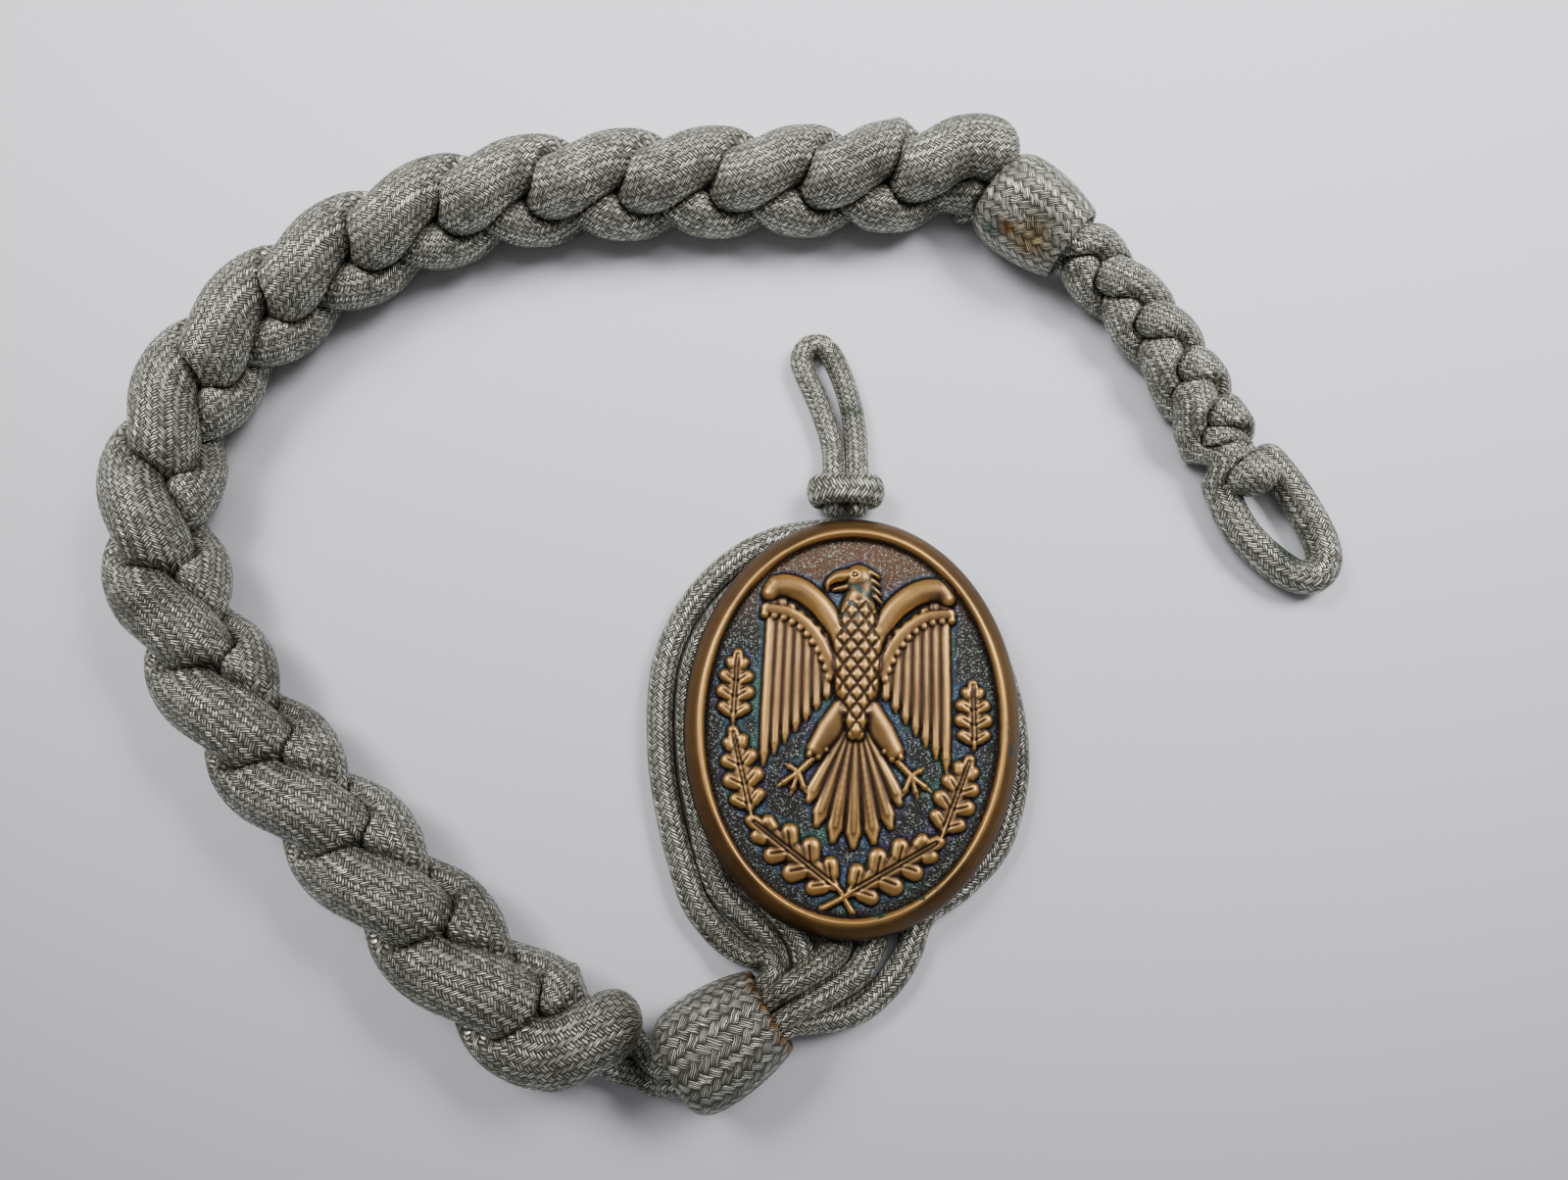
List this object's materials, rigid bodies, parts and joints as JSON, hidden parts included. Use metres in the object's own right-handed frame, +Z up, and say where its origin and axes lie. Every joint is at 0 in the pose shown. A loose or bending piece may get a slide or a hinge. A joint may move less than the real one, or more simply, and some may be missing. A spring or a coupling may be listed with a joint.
{
  "type": "marksmanship lanyard",
  "caption": "Plaited metallic-thread lanyard lying in an open curve, with woven sleeves, a button loop and an oval bronze plaque with a small shoulder loop.",
  "frame": {"origin": "middle of the footprint of the lying lanyard, on the table", "axes": "+Z up from the table, +X to the right and +Y away as the plaque is read"},
  "size_m": [0.174, 0.1378, 0.0152],
  "materials": {
    "cord": "silver-grey metallic thread, tubular braid",
    "bronze": "antique bronze, worn bright on the relief and dark in the ground"
  },
  "bodies": {
    "root": {"braid_strand_1": "cord", "braid_strand_2": "cord", "braid_strand_3": "cord", "thin_strand_1": "cord", "thin_strand_2": "cord", "thin_strand_3": "cord", "lower_sleeve": "cord", "upper_sleeve": "cord", "lower_tail_1": "cord", "lower_tail_2": "cord", "upper_tail_1": "cord", "upper_tail_2": "cord", "ring_cord_1": "cord", "ring_cord_2": "cord", "ring_cord_3": "cord", "ring_cord_4": "cord", "end_loop": "cord", "shoulder_loop": "cord", "loop_wrap": "cord", "badge": "bronze"}
  },
  "joints": []
}
